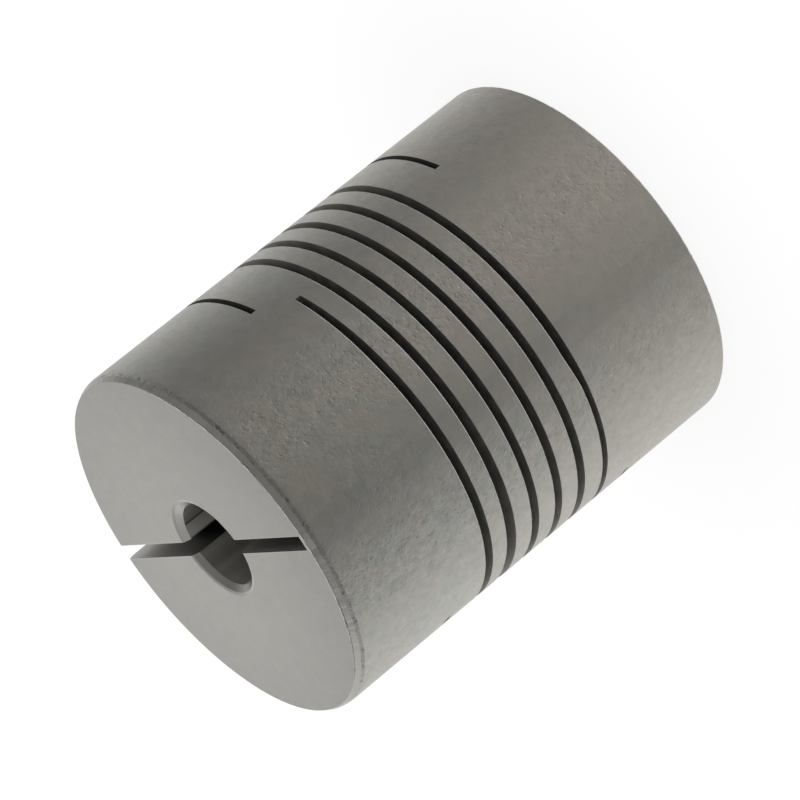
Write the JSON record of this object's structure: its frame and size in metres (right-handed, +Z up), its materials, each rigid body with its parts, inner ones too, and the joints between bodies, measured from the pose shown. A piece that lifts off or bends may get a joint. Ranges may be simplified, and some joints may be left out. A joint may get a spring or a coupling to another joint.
{
  "type": "helical beam shaft coupling",
  "caption": "One-piece helical beam coupling with integral clamp hubs: a spiral-cut round body joins shafts end to end, each held by a slit hub and its cap screw.",
  "frame": {"origin": "on the shaft axis, at the lower end face that the coupling stands on", "axes": "+Z up along the shaft axis, -X towards the mouths of the clamp slits, -Y towards the heads of the clamp screws"},
  "size_m": [0.025, 0.025, 0.032],
  "materials": {
    "body_steel": "bead-blasted matte stainless steel",
    "screw_steel": "black oxide alloy steel"
  },
  "bodies": {
    "root": {"coupling_body": "body_steel", "upper_clamp_screw": "screw_steel", "lower_clamp_screw": "screw_steel"}
  },
  "joints": []
}
